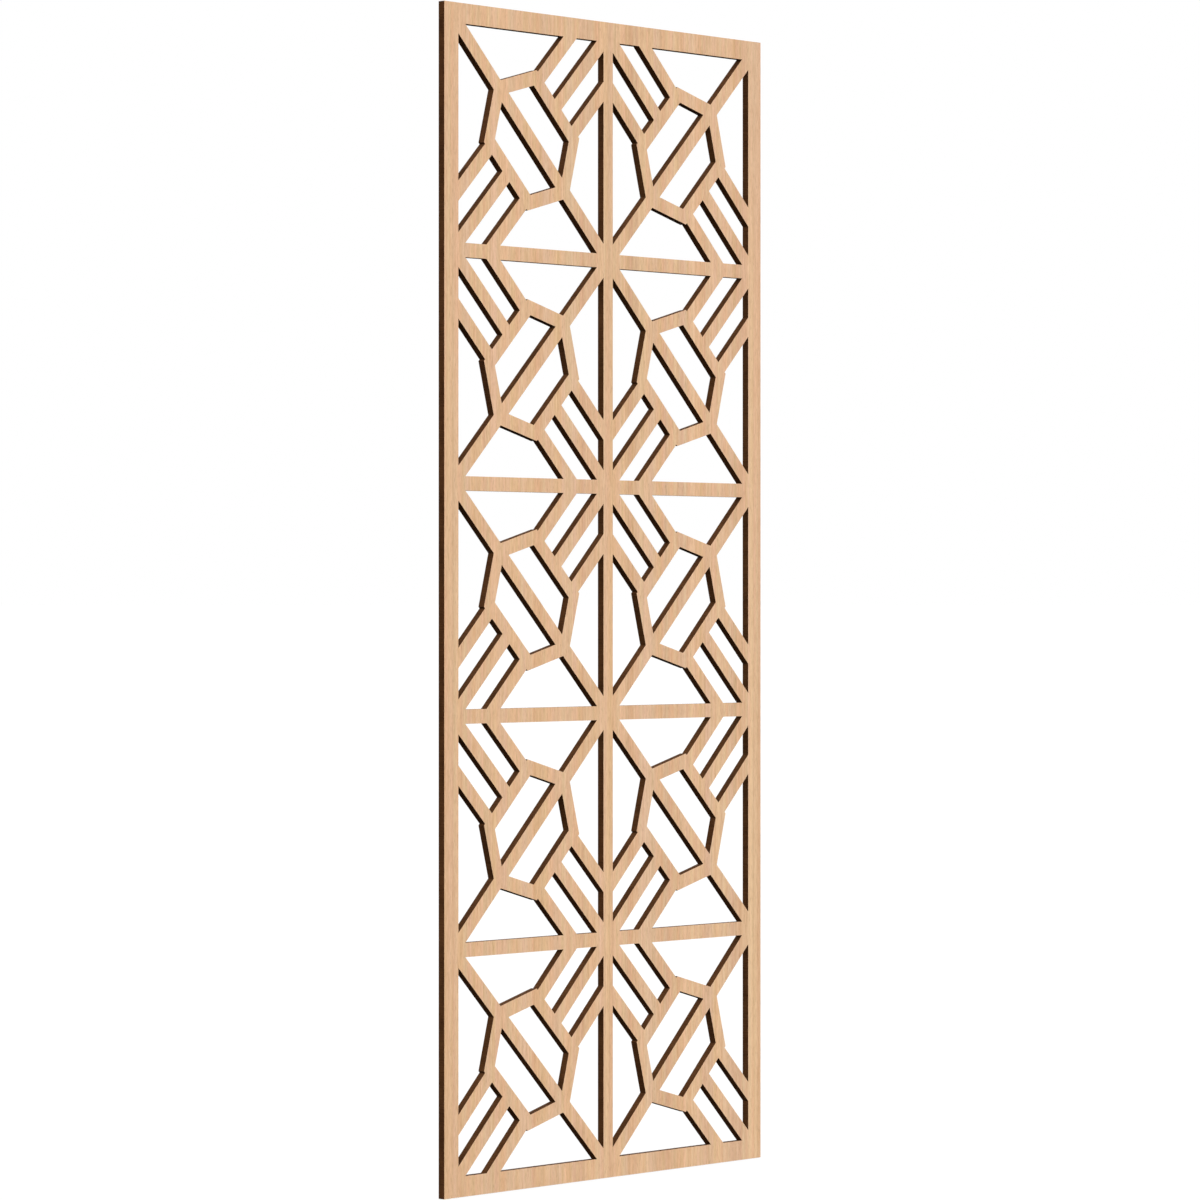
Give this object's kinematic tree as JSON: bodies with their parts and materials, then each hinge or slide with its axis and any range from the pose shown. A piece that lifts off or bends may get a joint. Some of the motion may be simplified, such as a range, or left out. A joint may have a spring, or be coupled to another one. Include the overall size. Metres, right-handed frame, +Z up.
{
  "type": "mashrabiya lattice panel",
  "caption": "Tall flat wood screen sawn right through into a mashrabiya lattice of squares, diagonal ribs and six-sided rings, inside a plain border.",
  "frame": {"origin": "centre of the flat back face, on the upright centre bar, which lies against the wall or frame that holds the panel", "axes": "+Z up along the panel's length, +X across its width, and the show face looks along -Y"},
  "size_m": [0.594, 0.0095, 1.437],
  "materials": {
    "veneered_wood": "pale satin wood veneer with straight upright grain on the faces, dark brown sawn edges all round and inside every opening"
  },
  "bodies": {
    "root": {"lattice_panel": "veneered_wood"}
  },
  "joints": []
}
